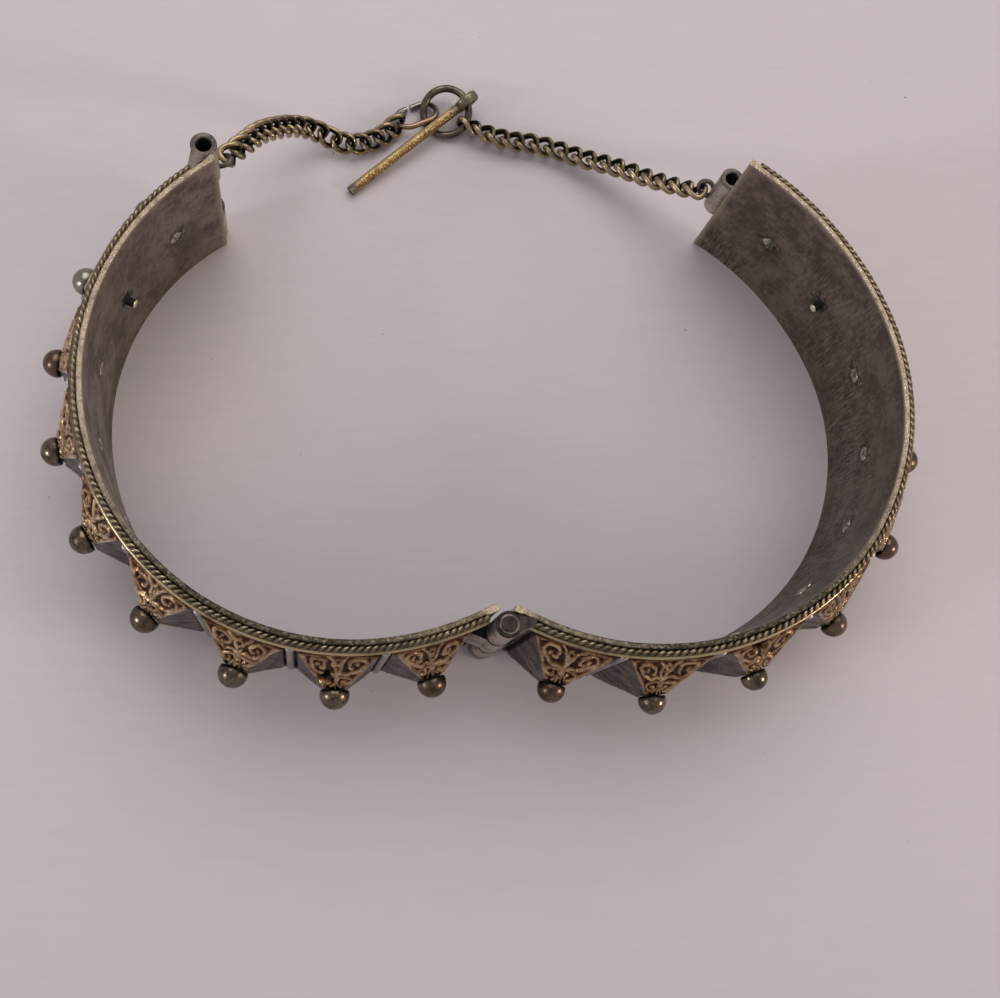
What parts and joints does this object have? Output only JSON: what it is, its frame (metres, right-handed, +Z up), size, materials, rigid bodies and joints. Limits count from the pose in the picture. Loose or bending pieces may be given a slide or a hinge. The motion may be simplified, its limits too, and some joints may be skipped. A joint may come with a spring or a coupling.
{
  "type": "hinged bracelet",
  "caption": "Open hinged silver bracelet lying on its lower rim, with rows of gilt pyramids under ball-headed rivets, and a closing bar on a safety chain.",
  "frame": {"origin": "bottom centre of the part's box, on the surface that it lies on", "axes": "+Z up, along the hinge pin, and +Y from the hinge towards the clasp ends"},
  "size_m": [0.1037, 0.0822, 0.0223],
  "materials": {
    "dark_silver": "tarnished silver, worn bright on the edges",
    "gilt_sheet": "worn gilding over silver, dark in the recesses",
    "ball_metal": "polished, darkened",
    "pin_metal": "dull",
    "bar_metal": "bright gilt with fine tool marks",
    "ring_metal": "dark, lightly polished",
    "oval_metal": "grey with a coppery worn side",
    "chain_metal": "dark gilt with bright worn bends"
  },
  "bodies": {
    "root": {"left_band": "dark_silver", "right_band": "dark_silver", "hinge_pin": "pin_metal", "closing_bar": "bar_metal", "ring": "ring_metal", "oval_link": "oval_metal", "left_chain": "chain_metal", "right_chain": "chain_metal", "left_pyramid_1": "gilt_sheet", "left_pyramid_2": "gilt_sheet", "left_pyramid_3": "gilt_sheet", "left_pyramid_4": "gilt_sheet", "left_pyramid_5": "gilt_sheet", "left_pyramid_6": "gilt_sheet", "left_pyramid_7": "gilt_sheet", "left_pyramid_8": "gilt_sheet", "left_pyramid_9": "gilt_sheet", "right_pyramid_1": "gilt_sheet", "right_pyramid_2": "gilt_sheet", "right_pyramid_3": "gilt_sheet", "right_pyramid_4": "gilt_sheet", "right_pyramid_5": "gilt_sheet", "right_pyramid_6": "gilt_sheet", "right_pyramid_7": "gilt_sheet", "right_pyramid_8": "gilt_sheet", "right_pyramid_9": "gilt_sheet", "left_rivet_1": "ball_metal", "left_rivet_2": "ball_metal", "left_rivet_3": "ball_metal", "left_rivet_4": "ball_metal", "left_rivet_5": "ball_metal", "left_rivet_6": "ball_metal", "left_rivet_7": "ball_metal", "left_rivet_8": "ball_metal", "left_rivet_9": "ball_metal", "right_rivet_1": "ball_metal", "right_rivet_2": "ball_metal", "right_rivet_3": "ball_metal", "right_rivet_4": "ball_metal", "right_rivet_5": "ball_metal", "right_rivet_6": "ball_metal", "right_rivet_7": "ball_metal", "right_rivet_8": "ball_metal", "right_rivet_9": "ball_metal"}
  },
  "joints": []
}
